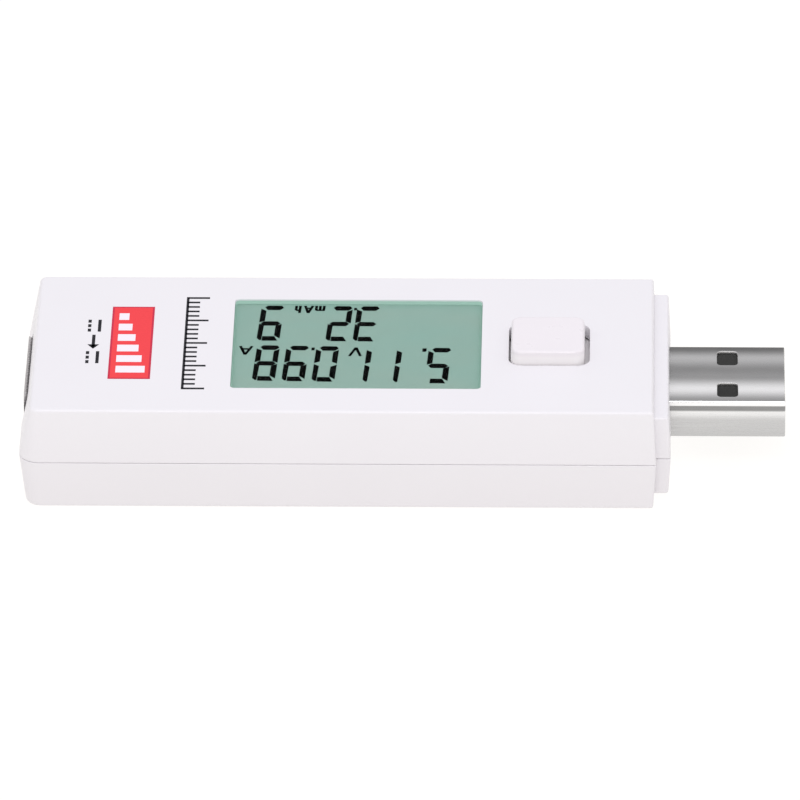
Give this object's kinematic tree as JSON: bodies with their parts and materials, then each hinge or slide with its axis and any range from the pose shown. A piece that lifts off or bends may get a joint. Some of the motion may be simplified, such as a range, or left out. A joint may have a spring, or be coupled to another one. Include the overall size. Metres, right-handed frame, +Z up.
{
  "type": "usb power meter",
  "caption": "Slim white in-line USB power meter: display window, mode button, USB-A plug on a stepped nose and a USB-A receptacle at the other end.",
  "frame": {"origin": "under the middle of the whole object, on the plane that the bottom cover rests on", "axes": "+X along the housing towards the plug's tip, +Z up out of the display face, +Y across, towards the far side when the plug points right"},
  "size_m": [0.0838, 0.0304, 0.0138],
  "materials": {
    "white_abs": "satin moulded white ABS",
    "button_abs": "satin moulded white ABS",
    "clear_pmma": "clear acrylic window",
    "optical_adhesive": "clear optical adhesive sheet",
    "polariser_film": "grey-green polarising film over the reflector",
    "display_glass": "display glass",
    "reflector_film": "grey-green reflective film",
    "holder_plastic": "white moulded plastic",
    "zebra_rubber": "layered conductive rubber",
    "board_green": "green solder mask",
    "steel_nickel": "nickel-plated steel sheet",
    "contact_gold": "gold-plated bronze",
    "connector_black": "black nylon",
    "switch_black": "black nylon",
    "chip_epoxy": "black moulded epoxy",
    "ceramic": "fired ceramic",
    "screw_steel": "black zinc"
  },
  "bodies": {
    "housing": {"top_cover": "white_abs", "bottom_cover": "white_abs", "display_lens": "clear_pmma", "lens_adhesive": "optical_adhesive", "lcd_front_polariser": "polariser_film", "lcd_front_glass": "display_glass", "lcd_rear_glass": "display_glass", "lcd_reflector": "reflector_film", "lcd_holder": "holder_plastic", "zebra_strip_1": "zebra_rubber", "zebra_strip_2": "zebra_rubber", "circuit_board": "board_green", "switch_base": "switch_black", "switch_cover": "steel_nickel", "switch_dome": "steel_nickel", "switch_terminal_1": "steel_nickel", "switch_terminal_2": "steel_nickel", "switch_terminal_3": "steel_nickel", "switch_terminal_4": "steel_nickel", "controller_chip": "chip_epoxy", "memory_chip": "chip_epoxy", "voltage_regulator": "chip_epoxy", "shunt_resistor": "chip_epoxy", "crystal": "steel_nickel", "capacitor_1": "ceramic", "capacitor_2": "ceramic", "capacitor_3": "ceramic", "resistor_1": "chip_epoxy", "resistor_2": "chip_epoxy", "board_screw_1": "screw_steel", "board_screw_2": "screw_steel", "board_screw_3": "screw_steel", "board_screw_4": "screw_steel", "plug_shell": "steel_nickel", "plug_insulator": "connector_black", "plug_contact_1": "contact_gold", "plug_contact_2": "contact_gold", "plug_contact_3": "contact_gold", "plug_contact_4": "contact_gold", "receptacle_shell": "steel_nickel", "receptacle_insulator": "connector_black", "receptacle_contact_1": "contact_gold", "receptacle_contact_2": "contact_gold", "receptacle_contact_3": "contact_gold", "receptacle_contact_4": "contact_gold"},
    "button": {"button_cap": "button_abs"},
    "plunger": {"switch_plunger": "switch_black"}
  },
  "joints": [
    {"name": "button_press", "type": "slide", "parent": "housing", "child": "button", "axis": [0, 0, -1], "range_m": [0, 0.00035], "stiffness_N_per_m": 2000, "springref_m": -0.0004},
    {"name": "plunger_travel", "type": "slide", "parent": "housing", "child": "plunger", "axis": [0, 0, -1], "range_m": [0, 0.00035], "deforming": ["switch_dome"]}
  ],
  "couplings": [
    {"joint": "plunger_travel", "follows": "button_press", "ratio": 1}
  ]
}
